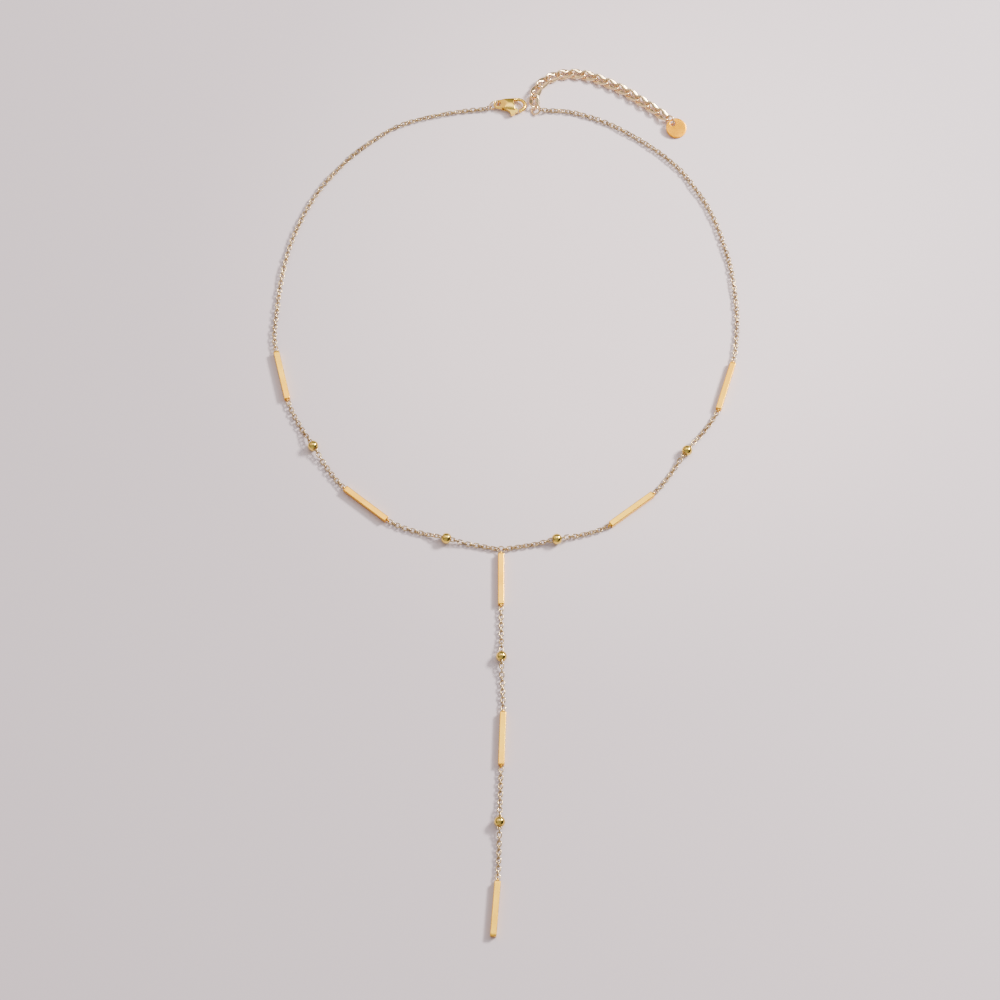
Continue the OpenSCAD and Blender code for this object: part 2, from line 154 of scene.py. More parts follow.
# Wire swept along points. facing gives the side that each ring of the mesh starts from, flares the extra
# width of each ring towards that side and away from it
def sweptWire(points, radius, sides, closed, facing, section=None, flares=None):
    verts = []
    count = len(points)
    section = section or squareSection(sides, 2, 1)
    for i, point in enumerate(points):
        before = points[i - 1] if closed or i > 0 else points[0]
        after = points[(i + 1) % count] if closed or i < count - 1 else points[-1]
        along = (after - before).normalized()
        side = facing(point)
        side = (side - along * side.dot(along)).normalized()
        up = along.cross(side)
        near, far = flares[i] if flares else (0, 0)
        for u, v in section:
            wide = 1 + (near if u > 0 else far)
            verts.append(point + radius * (wide * u * side + v * up))
    return verts, gridFaces(count, sides, closed)


def facingUp(point):
    return Vector((0, 0, 1))


# A profile of (x, r) turned about the X axis, closed on itself
def turned(profile, segments):
    verts = []
    for i in range(segments):
        a = 2 * math.pi * i / segments
        verts.extend([Vector((x, r * math.cos(a), r * math.sin(a))) for x, r in profile])
    return verts, gridFaces(segments, len(profile))


# Gold finishes. Each has a tone, a second tone in cloudy patches, a range of roughness and fine polish lines

goldLooks = {
    "barGold": {"tone": (0.95, 0.56, 0.05), "patch": (0.95, 0.48, 0.03),
                "rough": (0.20, 0.32), "cloud": 45, "lines": 0.3},
    "beadGold": {"tone": (0.80, 0.58, 0.13), "patch": (0.74, 0.52, 0.10),
                 "rough": (0.12, 0.20), "cloud": 700, "lines": 0.15},
    "chainGold": {"tone": (0.67, 0.50, 0.25), "patch": (0.45, 0.32, 0.16),
                  "rough": (0.16, 0.28), "cloud": 500, "lines": 0.1},
    "extenderGold": {"tone": (0.94, 0.71, 0.40), "patch": (0.90, 0.65, 0.35),
                     "rough": (0.13, 0.21), "cloud": 500, "lines": 0.1},
    "claspGold": {"tone": (0.97, 0.68, 0.13), "patch": (0.90, 0.57, 0.09),
                  "rough": (0.18, 0.28), "cloud": 300, "lines": 0.2},
    "tagGold": {"tone": (0.99, 0.43, 0.0), "patch": (0.97, 0.41, 0.0),
                "rough": (0.22, 0.27), "cloud": 90, "lines": 0.15},
}
goldGrain = {
    "cloudDetail": 4, "patchAt": 0.38, "toneAt": 0.62,
    "hazeFiner": 5, "hazeDetail": 6, "hazeRange": (0.3, 0.7),
    "lineScale": 900, "lineDetail": 3, "lineStretch": (1, 9, 9), "lineTurn": 0.9, "lineDepth": 0.000004,
}


def addNoise(tree, place, scale, detail):
    noise = tree.nodes.new("ShaderNodeTexNoise")
    noise.inputs["Scale"].default_value = scale
    noise.inputs["Detail"].default_value = detail
    tree.links.new(place, noise.inputs["Vector"])
    return noise.outputs["Fac"]


# Colours by a share from 0 to 1, between two stops of (position, colour)
def addTones(tree, share, stops):
    ramp = tree.nodes.new("ShaderNodeValToRGB")
    for element, (position, colour) in zip(ramp.color_ramp.elements, stops):
        element.position = position
        element.color = (*colour, 1)
    tree.links.new(share, ramp.inputs["Fac"])
    return ramp


def makeGold(name, look):
    material = bpy.data.materials.new(name)
    material.use_nodes = True
    tree = material.node_tree
    shader = tree.nodes["Principled BSDF"]
    shader.inputs["Metallic"].default_value = 1.0
    place = tree.nodes.new("ShaderNodeTexCoord").outputs["Object"]

    cloud = addNoise(tree, place, look["cloud"], goldGrain["cloudDetail"])
    stops = [(goldGrain["patchAt"], look["patch"]), (goldGrain["toneAt"], look["tone"])]
    tones = addTones(tree, cloud, stops)
    tree.links.new(tones.outputs["Color"], shader.inputs["Base Color"])

    haze = addNoise(tree, place, goldGrain["hazeFiner"] * look["cloud"], goldGrain["hazeDetail"])
    rough = tree.nodes.new("ShaderNodeMapRange")
    for end, k in (("Min", 0), ("Max", 1)):
        rough.inputs["From " + end].default_value = goldGrain["hazeRange"][k]
        rough.inputs["To " + end].default_value = look["rough"][k]
    tree.links.new(haze, rough.inputs["Value"])
    tree.links.new(rough.outputs["Result"], shader.inputs["Roughness"])

    # Polish lines: noise drawn out along one direction
    stretch = tree.nodes.new("ShaderNodeMapping")
    stretch.inputs["Scale"].default_value = goldGrain["lineStretch"]
    stretch.inputs["Rotation"].default_value = (0, 0, goldGrain["lineTurn"])
    tree.links.new(place, stretch.inputs["Vector"])
    lines = addNoise(tree, stretch.outputs["Vector"], goldGrain["lineScale"], goldGrain["lineDetail"])
    bump = tree.nodes.new("ShaderNodeBump")
    bump.inputs["Strength"].default_value = look["lines"]
    bump.inputs["Distance"].default_value = goldGrain["lineDepth"]
    tree.links.new(lines, bump.inputs["Height"])
    tree.links.new(bump.outputs["Normal"], shader.inputs["Normal"])
    return material


golds = {name: makeGold(name, look) for name, look in goldLooks.items()}
print("finishes made")


# Bars: a square rod with rounded edges and a wire eye soldered on each end that holds chain

bar = {"length": 15, "width": 1.7, "edge": 0.2, "endEdge": 0.02, "edgeSteps": 5, "lengthSteps": 24}
eye = {"wire": 0.3, "reach": 0.8, "bend": 0.46, "sides": 14, "steps": 18,
       "solder": 0.13, "solderSteps": 6, "solderCore": 0.05, "solderSunk": 0.1}


# Outline of a square with rounded corners, in the YZ plane
def roundedOutline(half, r, steps):
    outline = []
    for corner in range(4):
        sx = 1 if corner in (0, 3) else -1
        sy = 1 if corner in (0, 1) else -1
        for k in range(steps + 1):
            a = math.radians(90 * corner + 90 * k / steps)
            outline.append((sx * (half - r) + r * math.cos(a), sy * (half - r) + r * math.sin(a)))
    return outline


def barRod():
    half, r, steps = bar["width"] / 2, bar["edge"], bar["edgeSteps"]
    stations = []
    for k in range(steps + 1):
        a = math.radians(90 * k / steps)
        stations.append((-bar["length"] / 2 + r - r * math.cos(a), r - r * math.sin(a)))
    inner = bar["length"] - 2 * r
    for k in range(1, bar["lengthSteps"]):
        stations.append((-inner / 2 + inner * k / bar["lengthSteps"], 0))
    stations += [(-x, inset) for x, inset in reversed(stations[:steps + 1])]
    verts = []
    for x, inset in stations:
        outline = roundedOutline(half - inset, max(r - inset, bar["endEdge"]), steps)
        verts.extend([Vector((x, y, z)) for y, z in outline])
    return verts, gridFaces(len(stations), len(outline), False)


# Standing eye on the +X end: two legs and a half ring, with a collar of solder at each foot
def barEye():
    end, wire, bend, solder = bar["length"] / 2, eye["wire"], eye["bend"], eye["solder"]
    tip = end + eye["reach"] - bend
    foot = end - wire
    points = [Vector((foot, 0, -bend)), Vector((foot + wire, 0, -bend))]
    for k in range(eye["steps"] + 1):
        a = math.radians(-90 + 180 * k / eye["steps"])
        points.append(Vector((tip + bend * math.cos(a), 0, bend * math.sin(a))))
    points += [Vector((foot + wire, 0, bend)), Vector((foot, 0, bend))]
    parts = [sweptWire(points, wire / 2, eye["sides"], False, lambda point: Vector((0, 1, 0)))]

    collar = []
    for k in range(eye["solderSteps"] + 1):
        a = math.radians(90 * k / eye["solderSteps"])
        collar.append((end + solder * (1 - math.cos(a)), wire / 2 + solder * (1 - math.sin(a))))
    core, sunk = eye["solderCore"], end - eye["solderSunk"]
    collar += [(end + solder, core), (sunk, core), (sunk, wire / 2 + solder)]
    for side in (-1, 1):
        parts.append(moved(turned(collar, eye["sides"]), Matrix.Translation((0, 0, side * bend))))
    return joined(parts)


def makeBars():
    rod, ringEye = barRod(), barEye()
    for name, (x, y, heading) in barPlaces.items():
        parts = [rod, moved(ringEye, rotation(180, "Z"))]
        if name != "bar_drop_lower":  # the last bar holds no chain at its foot
            parts.append(ringEye)
        part = moved(joined(parts), placeOf(x, y, bar["width"] / 2, heading))
        finishPiece(addPiece(name + "_gold", part, golds["barGold"], flats=True), "bar_gold", name)


makeBars()
print("bars made")


# Beads: a drilled ball with a softened lip at each end of the hole

bead = {"diameter": 2.995, "bore": 1.75, "lip": 0.07, "segments": 56, "arcSteps": 26, "lipSteps": 5}


def beadBall():
    r, hole, lip = bead["diameter"] / 2, bead["bore"] / 2, bead["lip"]
    lipMiddle = hole + lip
    reach = math.sqrt((r - lip) ** 2 - lipMiddle ** 2)
    start = math.atan2(lipMiddle, reach)
    profile = []
    for k in range(bead["arcSteps"] + 1):
        a = start + (math.pi - 2 * start) * k / bead["arcSteps"]
        profile.append((r * math.cos(a), r * math.sin(a)))
    for side in (-1, 1):
        arc = []
        for k in range(1, bead["lipSteps"] + 1):
            a = math.pi - start + start * k / bead["lipSteps"]
            radius = lipMiddle + lip * math.sin(a) if k < bead["lipSteps"] else hole
            arc.append((side * (reach - lip * math.cos(a)), radius))
        profile += arc if side < 0 else arc[::-1]
    return turned(profile, bead["segments"])


def makeBeads():
    ball = beadBall()
    for name, (x, y, heading) in beadPlaces.items():
        part = moved(ball, placeOf(x, y, bead["diameter"] / 2, heading))
        finishPiece(addPiece(name + "_gold", part, golds["beadGold"]), "bead_gold", name)


makeBeads()
print("beads made")


# Fine chain: oval links, flat and on edge by turns

link = {"length": 1.95, "width": 1.44, "wire": 0.34, "pitch": 1.145, "around": 28, "sides": 10}
chain = {
    "height": 0.735,  # of the chain's axis where it lies on the floor
    "gap": 0.15,  # between an eye or ring and the first link's wire
    "hookGap": 0.03,  # the same at the rings of the back chains
    "barFall": 3, "beadFall": 4.5, "beadStraight": 1.7,
    "curveSteps": 24, "sway": 14, "swayStep": 23,
    "backBends": 33, "backSway": 22, "calmLinks": 3, "seed": 7,
}
junction = {"at": (-1.3, -21.6, 0.85), "diameter": 2.2, "wire": 0.35}
linkHalf = (link["length"] - link["wire"]) / 2
firstLink = eye["reach"] - (eye["wire"] + link["wire"]) / 2 - chain["gap"] + linkHalf
ringLink = ((junction["diameter"] - junction["wire"]) / 2 - (junction["wire"] + link["wire"]) / 2
            - chain["gap"] + linkHalf)

# Each chain's bar and bead, and the bar it ends at, or its heading where it ends at the junction ring
frontChains = {
    "chain_left_upper": ("bar_left_upper", "bead_left_upper", "bar_left_lower"),
    "chain_right_upper": ("bar_right_upper", "bead_right_upper", "bar_right_lower"),
    "chain_left_lower": ("bar_left_lower", "bead_left_lower", -12),
    "chain_right_lower": ("bar_right_lower", "bead_right_lower", -168),
    "chain_drop_upper": ("bar_drop_upper", "bead_drop_upper", "bar_drop_middle"),
    "chain_drop_lower": ("bar_drop_middle", "bead_drop_lower", "bar_drop_lower"),
}
backChains = {
    "chain_left_back": {"bar": "bar_left_upper", "route": leftBackRoute, "ring": "clasp_ring",
                        "ringAngle": 195, "hang": 0, "odd": 0},
    "chain_right_back": {"bar": "bar_right_upper", "route": rightBackRoute, "ring": "end_ring",
                         "ringAngle": -110, "hang": 0.14, "odd": 1},
}


def ovalLink():
    r = (link["width"] - link["wire"]) / 2
    straight = linkHalf - r
    points = []
    for i in range(link["around"]):
        a = 2 * math.pi * (i + 0.5) / link["around"]
        points.append(Vector((r * math.cos(a) + math.copysign(straight, math.cos(a)), r * math.sin(a), 0)))
    return sweptWire(points, link["wire"] / 2, link["sides"], True, facingUp)


# Falls smoothly from 1 to 0 over the reach
def fade(s, reach):
    return 0.0 if s >= reach else (1 + math.cos(math.pi * s / reach)) / 2


def planHeading(v):
    return math.degrees(math.atan2(v[1], v[0]))


def headingWay(heading):
    return Vector((math.cos(math.radians(heading)), math.sin(math.radians(heading))))


# Point on a curve from a to b that leaves and arrives along the two headings
def curvePoint(a, headingA, b, headingB, t):
    reach = (b - a).length / 3
    p = a + reach * headingWay(headingA)
    q = b - reach * headingWay(headingB)
    return (1 - t) ** 3 * a + 3 * t * (1 - t) ** 2 * p + 3 * t * t * (1 - t) * q + t ** 3 * b


# Smooth points through a route, with so many steps from each of its points to the next
def smoothRoute(route, steps=12):
    points = [Vector(p) for p in route]
    run = []
    for i in range(len(points) - 1):
        a, b, c, d = points[max(i - 1, 0)], points[i], points[i + 1], points[min(i + 2, len(points) - 1)]
        for k in range(steps):
            t = k / steps
            bend = (2 * a - 5 * b + 4 * c - d) * t * t
            run.append((2 * b + (c - a) * t + bend + (3 * b - a - 3 * c + d) * t ** 3) / 2)
    return run + [points[-1]]


# Points with the distance along them, and the place at any distance
class Run:
    def __init__(self, points):
        self.points = points
        self.marks = [0.0]
        for a, b in zip(points, points[1:]):
            self.marks.append(self.marks[-1] + (b - a).length)
        self.length = self.marks[-1]

    def at(self, s):
        i = 0
        while i < len(self.marks) - 2 and self.marks[i + 1] < s:
            i += 1
        share = (s - self.marks[i]) / (self.marks[i + 1] - self.marks[i])
        return self.points[i].lerp(self.points[i + 1], share)


# Gaps between links over a length: an even number of them, or an odd one where odd is 1
def gapCount(length, odd):
    return 2 * round((length / link["pitch"] - odd) / 2) + odd


# Links at even steps along a run. heightAt gives the height of the axis, rollAt the roll of each link
def linksAlong(run, firstS, lastS, gaps, heightAt, rollAt):
    single = ovalLink()
    pitch = (lastS - firstS) / gaps
    points = []
    for i in range(-1, gaps + 2):
        s = min(max(firstS + i * pitch, 0), run.length)
        p = run.at(s)
        points.append(Vector((p[0], p[1], heightAt(s))))
    parts = []
    for i in range(gaps + 1):
        way = points[i + 2] - points[i]
        middle = points[i + 1]
        climb = math.degrees(math.atan2(way[2], math.hypot(way[0], way[1])))
        parts.append(moved(single, placeOf(*middle, planHeading(way), rollAt(i), climb)))
    return joined(parts)


def barEnd(name, end):
    x, y, heading = barPlaces[name]
    a = math.radians(heading)
    reach = end * bar["length"] / 2
    return (x + reach * math.cos(a), y + reach * math.sin(a), heading)


# The chain leaves a bar two thirds along the bar's own heading and one third towards the bead
def frontChain(name, barName, beadName, last):
    toRing = last not in barPlaces
    start = barEnd(barName, 1)
    end = (*junction["at"][:2], last) if toRing else barEnd(last, -1)
    a, b, c = Vector(start[:2]), Vector(beadPlaces[beadName][:2]), Vector(end[:2])
    beadHeading = beadPlaces[beadName][2]
    leave = (2 * start[2] + planHeading(b - a)) / 3
    meet = (2 * end[2] + planHeading(c - b)) / 3
    steps = chain["curveSteps"]
    points = [curvePoint(a, leave, b, beadHeading, k / steps) for k in range(steps)]
    points += [curvePoint(b, beadHeading, c, meet, k / steps) for k in range(steps + 1)]
    run = Run(points)
    beadS = run.marks[steps]
    lastS = run.length - (ringLink if toRing else firstLink)

    def heightAt(s):
        ends = fade(s, chain["barFall"]) + fade(run.length - s, chain["barFall"])
        rise = fade(max(0, abs(s - beadS) - chain["beadStraight"]), chain["beadFall"])
        return (chain["height"] + (bar["width"] / 2 - chain["height"]) * ends
                + (bead["diameter"] / 2 - chain["height"]) * rise)

    def rollAt(i):
        return 90 * (i % 2) + chain["sway"] * math.sin(math.radians(chain["swayStep"] * i))

    gaps = gapCount(lastS - firstLink, 1 if toRing else 0)
    part = linksAlong(run, firstLink, lastS, gaps, heightAt, rollAt)
    finishPiece(addPiece(name + "_links", part, golds["chainGold"]), "chain_gold", name)


# The stretches round the back of the neck end in a ring: the last link lies inside its wire
def backChain(name, ends):
    start = barEnd(ends["bar"], -1)
    ringSide = ringPoint(ends["ring"], ends["ringAngle"])
    whole = Run(smoothRoute([start[:2]] + ends["route"][:-1] + [ringSide[:2]]))
    bends = chain["backBends"]
    run = Run([whole.at(whole.length * i / bends) for i in range(bends + 1)])
    endHeight = ringSide[2] - ends["hang"]
    hookIn = (ringPlaces[ends["ring"]]["wire"] + link["wire"]) / 2 + chain["hookGap"]
    lastS = run.length - linkHalf + hookIn
    gaps = gapCount(lastS - firstLink, ends["odd"])
    draw = random.Random(chain["seed"])
    sways = [draw.uniform(-1, 1) for _ in range(gaps + 1)]

    def heightAt(s):
        return (chain["height"] + (bar["width"] / 2 - chain["height"]) * fade(s, chain["barFall"])
                + (endHeight - chain["height"]) * fade(run.length - s, chain["barFall"]))

    def rollAt(i):
        calm = min(i, gaps - i) / chain["calmLinks"]
        return 90 * (i % 2) + chain["backSway"] * min(calm, 1) * sways[i]

    part = linksAlong(run, firstLink, lastS, gaps, heightAt, rollAt)
    finishPiece(addPiece(name + "_links", part, golds["chainGold"]), "chain_gold", name)


# Rings of wire, closed by soldering or with a fine joint where they were bent shut

ringPlaces = {
    "clasp_ring": {"at": (-3.35, 117.36, 1.51), "turn": 25, "roll": 70,
                   "diameter": 3.15, "wire": 0.4, "joint": 90},
    "end_ring": {"at": (8.9, 116.1, 0.95), "turn": 105, "roll": -30,
                 "diameter": 3.2, "wire": 0.5, "joint": 150},
    "tag_ring": {"at": (47.95, 112.4, 1.35), "turn": 128, "roll": -54,
                 "diameter": 3.1, "wire": 0.45, "joint": 70},
}
ringMesh = {"around": 72, "sides": 14, "jointWidth": 1.2}


def ringMatrix(place):
    return Matrix.Translation(place["at"]) @ rotation(place["turn"], "Z") @ rotation(place["roll"], "X")


def ringPoint(name, angle):
    place = ringPlaces[name]
    r, a = (place["diameter"] - place["wire"]) / 2, math.radians(angle)
    return ringMatrix(place) @ Vector((r * math.cos(a), r * math.sin(a), 0))


def ringWire(diameter, wire, joint=None):
    r = (diameter - wire) / 2
    closed = joint is None
    start = 0 if closed else joint + ringMesh["jointWidth"] / 2
    sweep = 360 if closed else 360 - ringMesh["jointWidth"]
    points = []
    for i in range(ringMesh["around"]):
        share = i / ringMesh["around"] if closed else i / (ringMesh["around"] - 1)
        a = math.radians(start + sweep * share)
        points.append(Vector((r * math.cos(a), r * math.sin(a), 0)))
    return sweptWire(points, wire / 2, ringMesh["sides"], closed, facingUp)


def makeRings():
    part = moved(ringWire(junction["diameter"], junction["wire"]), Matrix.Translation(junction["at"]))
    finishPiece(addPiece("junction_ring_wire", part, golds["chainGold"]), "chain_gold", "junction_ring")
    for name, place in ringPlaces.items():
        part = moved(ringWire(place["diameter"], place["wire"], place["joint"]), ringMatrix(place))
        finishPiece(addPiece(name + "_wire", part, golds["extenderGold"]), "extender_gold", name)


for name, stops in frontChains.items():
    frontChain(name, *stops)
for name, ends in backChains.items():
    backChain(name, ends)
makeRings()
print("chains and rings made")


# Extender: links twisted a quarter turn, each a node of its own

curb = {
    "count": 14, "length": 5.5, "width": 3.195, "wire": 0.7, "twist": -92,
    "flare": 0.4, "flareReach": 1.2, "innerFlare": 1.5, "innerReach": 0.95,
    "height": 1, "hookReach": 0.5,
    "around": 72, "sides": 20, "innerShare": 0.7, "flat": 0.94, "square": 2.5,
}


# The wire runs along an arm and round a bend, then the same again opposite them. The arms are broader at
# their middle, above all towards the hole
def curbLink():
    half = (curb["length"] - curb["wire"]) / 2
    r = (curb["width"] - curb["wire"] * (1 + curb["flare"])) / 2
    straight, bend = 2 * (half - r), math.pi * r

    def plan(s):
        if s >= straight + bend:
            return -plan(s - straight - bend)
        if s < straight:
            return Vector((straight / 2 - s, r))
        a = math.pi / 2 + math.pi * (s - straight) / bend
        return Vector((r * math.cos(a) - straight / 2, r * math.sin(a)))

    def middle(s):
        x, y = plan(s)
        a = math.radians(curb["twist"] / 2) * x / half
        return Vector((x, y * math.cos(a), y * math.sin(a)))

    def facingHole(point):
        return point - Vector((point[0] * curb["innerShare"], 0, 0))

    step = 2 * (straight + bend) / curb["around"]
    points = [middle((i + 0.5) * step) for i in range(curb["around"])]
    flares = [(curb["flare"] * max(0, 1 - (p[0] / curb["flareReach"]) ** 2),
               curb["innerFlare"] * max(0, 1 - (p[0] / curb["innerReach"]) ** 2)) for p in points]
    section = squareSection(curb["sides"], curb["square"], curb["flat"])
    return sweptWire(points, curb["wire"] / 2, curb["sides"], True, facingHole, section, flares)


def makeExtender():
    single = curbLink()
    half = (curb["length"] - curb["wire"]) / 2
    run = Run(smoothRoute(extenderRoute))
    firstS = curb["hookReach"] + half
    pitch = (run.length - 2 * firstS) / (curb["count"] - 1)
    for i in range(curb["count"]):
        s = firstS + i * pitch
        middle = run.at(s)
        way = run.at(s + half / 2) - run.at(s - half / 2)
        part = moved(single, placeOf(middle[0], middle[1], curb["height"], planHeading(way)))
        name = "extender_link_" + str(i + 1)
        finishPiece(addPiece(name + "_wire", part, golds["extenderGold"]), "extender_gold", name)


makeExtender()
print("extender made")


# Tag: a stamped disc with softened edges, drilled near its rim

tag = {"diameter": 6, "thickness": 0.5, "hole": 1.6, "edge": 1.3, "soft": 0.12,
       "ringAngle": 180, "lean": 13, "softSteps": 6, "rings": 8, "around": 120}


# Points run from the hole's wall over the upper face to the rim, and back under the disc
def tagDisc():
    half, soft, rings = tag["thickness"] / 2, tag["soft"], tag["rings"]
    upper = []
    for share in (0, 1):
        bend = []
        for k in range(tag["softSteps"] + 1):
            a = math.pi / 2 * k / tag["softSteps"]
            inset = soft * (1 - math.cos(a))
            bend.append((share, inset * (1 - 2 * share), half - soft * (1 - math.sin(a))))
        upper += bend if share == 0 else bend[::-1]
        if share == 0:
            upper += [(k / rings, soft * (1 - 2 * k / rings), half) for k in range(1, rings)]
    profile = upper + [(share, out, -z) for share, out, z in reversed(upper)]
    hole = Vector((tag["diameter"] / 2 - tag["edge"], 0, 0))
    verts = []
    for i in range(tag["around"]):
        a = 2 * math.pi * i / tag["around"]
        way = Vector((math.cos(a), math.sin(a), 0))
        inner, outer = hole + way * tag["hole"] / 2, way * tag["diameter"] / 2
        for share, out, z in profile:
            verts.append(inner.lerp(outer, share) + way * out + Vector((0, 0, z)))
    return verts, gridFaces(tag["around"], len(profile))


def makeTag():
    hang = Matrix.Translation(ringPoint("tag_ring", tag["ringAngle"]))
    toHole = Matrix.Translation((tag["edge"] - tag["diameter"] / 2, 0, 0))
    matrix = hang @ rotation(ringPlaces["tag_ring"]["turn"], "Z") @ rotation(-tag["lean"], "Y") @ toHole
    part = moved(tagDisc(), matrix)
    finishPiece(addPiece("tag_disc", part, golds["tagGold"], flats=True), "tag_gold", "tag")


makeTag()
print("tag made")


# Clasp: a cast housing with a slot, an eye, a bow and a pin, and the lever that turns in the slot

clasp = {
    "at": (-2.1, 117.8, 1.15), "turn": -3, "eye": 1.4, "eyeHole": 0.8, "thickness": 2.3,
    "plan": [(0, 1.4), (5.3, 2.35), (5.7, 1.9), (4.65, 1.4), (4.5, 0.4), (5.3, -2.1), (0, -1.4)],
    "side": [(-2, -0.4), (0.7, -0.4), (2, -1.15), (5, -1.15), (5.75, -0.5),
             (5.75, 0.5), (5, 1.15), (2, 1.15), (0.7, 0.4), (-2, 0.4)],
    "crown": 2.35, "slotAt": (1.25, 0.4), "slot": 1.3,
    "bowAt": (5.9, 0), "bow": 1.9, "bowWire": 1.0, "bowStart": 120, "bowEnd": -68, "ball": 1.1,
    "bowSteps": 48, "bowSides": 24,
    "pinAt": (2.05, -0.8), "pin": 0.7, "pinCover": 0.25,
}
lever = {
    "plan": [(2.05, -0.15), (4.9, -1.05), (5.85, -1.35), (5.9, -2.2), (5.3, -2.5),
             (4.9, -3.3), (3.9, -3.4), (3.4, -2.35), (2.05, -1.45)],
    "thickness": 1.1, "barrel": 0.7, "bore": 0.44,
}
casting = {
    "grain": 0.055,  # in mm, the size of the skin's faces
    "rounding": 130, "softening": 16,  # passes that round the housing, and the whole casting
    "softness": 0.5,  # of one pass
    "share": 0.8,  # of the faces that stay
    "across": 4, "along": 8, "slotOut": 6,  # how far the cutting solids reach
}


def prism(outline, low, high):
    count = len(outline)
    verts = [Vector((x, y, z)) for z in (low, high) for x, y in outline]
    faces = [tuple(range(count - 1, -1, -1)), tuple(range(count, 2 * count))]
    faces += [(k, (k + 1) % count, count + (k + 1) % count, count + k) for k in range(count)]
    area = sum(a[0] * b[1] - b[0] * a[1] for a, b in zip(outline, outline[1:] + outline[:1]))
    return verts, faces if area > 0 else [f[::-1] for f in faces]


# Each pass cuts the corners of an outline at a quarter of its sides
def softOutline(outline, passes=3):
    for _ in range(passes):
        cutOff = []
        for a, b in zip(outline, outline[1:] + outline[:1]):
            cutOff.append((0.75 * a[0] + 0.25 * b[0], 0.75 * a[1] + 0.25 * b[1]))
            cutOff.append((0.25 * a[0] + 0.75 * b[0], 0.25 * a[1] + 0.75 * b[1]))
        outline = cutOff
    return outline


def roundOutline(x, y, rx, ry=None, steps=64):
    turns = [2 * math.pi * k / steps for k in range(steps)]
    return [(x + rx * math.cos(a), y + (ry or rx) * math.sin(a)) for a in turns]


# A ball turned from a half circle that stops just short of the axis
def ballPart(x, y, r, steps=24, poleGap=0.01):
    turns = [math.pi * k / steps for k in range(steps + 1)]
    profile = [(r * math.cos(a), max(r * math.sin(a), poleGap)) for a in turns] + [(0, poleGap)]
    return moved(turned(profile, 2 * steps), Matrix.Translation((x, y, 0)))


def workObject(part):
    mesh = bpy.data.meshes.new("work")
    mesh.from_pydata([tuple(v) for v in part[0]], [], part[1])
    mesh.validate()
    thing = bpy.data.objects.new("work", mesh)
    bpy.context.scene.collection.objects.link(thing)
    return thing


# The thing's shape after its modifiers. The working objects go
def evaluated(thing, *others):
    mesh = bpy.data.meshes.new_from_object(thing.evaluated_get(bpy.context.evaluated_depsgraph_get()))
    for spent in (thing, *others):
        bpy.data.objects.remove(spent)
    shape = bmesh.new()
    shape.from_mesh(mesh)
    bmesh.ops.remove_doubles(shape, verts=shape.verts, dist=weldDistance)
    shape.verts.index_update()
    part = [v.co.copy() for v in shape.verts], [tuple(v.index for v in f.verts) for f in shape.faces]
    shape.free()
    bpy.data.meshes.remove(mesh)
    return part


def cut(part, *steps):
    thing = workObject(part)
    tools = []
    for operation, tool in steps:
        tools.append(workObject(tool))
        modifier = thing.modifiers.new(operation, "BOOLEAN")
        modifier.operation = operation
        modifier.solver = "EXACT"
        modifier.object = tools[-1]
        tools[-1].hide_render = True
    return evaluated(thing, *tools)


# Overlapping solids become one casting with soft edges and fillets
def cast(parts, passes, share):
    thing = workObject(joined(parts))
    remesh = thing.modifiers.new("one skin", "REMESH")
    remesh.mode = "VOXEL"
    remesh.voxel_size = casting["grain"]
    smooth = thing.modifiers.new("soften", "SMOOTH")
    smooth.factor = casting["softness"]
    smooth.iterations = passes
    decimate = thing.modifiers.new("thin out", "DECIMATE")
    decimate.ratio = share
    return evaluated(thing)


def claspMatrix():
    return Matrix.Translation(clasp["at"]) @ rotation(clasp["turn"], "Z")


def claspBow():
    middle = Vector((*clasp["bowAt"], 0))
    sweep = clasp["bowEnd"] - clasp["bowStart"]
    points = []
    for k in range(clasp["bowSteps"] + 1):
        a = math.radians(clasp["bowStart"] + sweep * k / clasp["bowSteps"])
        points.append(middle + clasp["bow"] * Vector((math.cos(a), math.sin(a), 0)))
    tip = ballPart(points[-1][0], points[-1][1], clasp["ball"] / 2)
    return [sweptWire(points, clasp["bowWire"] / 2, clasp["bowSides"], False, facingUp), tip]


def makeClaspBody():
    tall = 2 * clasp["thickness"]
    across, along, out = casting["across"], casting["along"], casting["slotOut"]
    housing = prism(clasp["plan"], -tall, tall)
    eyeRound = prism(roundOutline(0, 0, clasp["eye"]), -tall, tall)
    side = moved(prism(softOutline(clasp["side"]), -across, across), rotation(90, "X"))
    crownPlan = roundOutline(0, 0, clasp["thickness"] / 2, clasp["crown"])
    crown = moved(prism(crownPlan, -across, along), rotation(90, "Y"))
    hole = prism(roundOutline(0, 0, clasp["eyeHole"]), -tall, tall)
    x, y = clasp["slotAt"]
    slotPlan = [(x, y - out), (x + out, y - out), (x + out, y), (x, y)]
    slot = prism(slotPlan, -clasp["slot"] / 2, clasp["slot"] / 2)
    body = cut(housing, ("UNION", eyeRound), ("INTERSECT", side), ("INTERSECT", crown))
    body = cast([body], casting["rounding"], 1)
    body = cut(body, ("DIFFERENCE", hole), ("DIFFERENCE", slot))

    pinHalf = clasp["thickness"] / 2 - clasp["pinCover"]
    pin = prism(roundOutline(*clasp["pinAt"], clasp["pin"] / 2), -pinHalf, pinHalf)
    part = moved(cast([body, pin, *claspBow()], casting["softening"], casting["share"]), claspMatrix())
    finishPiece(addPiece("clasp_body_cast", part, golds["claspGold"]), "clasp_gold", "clasp_body")


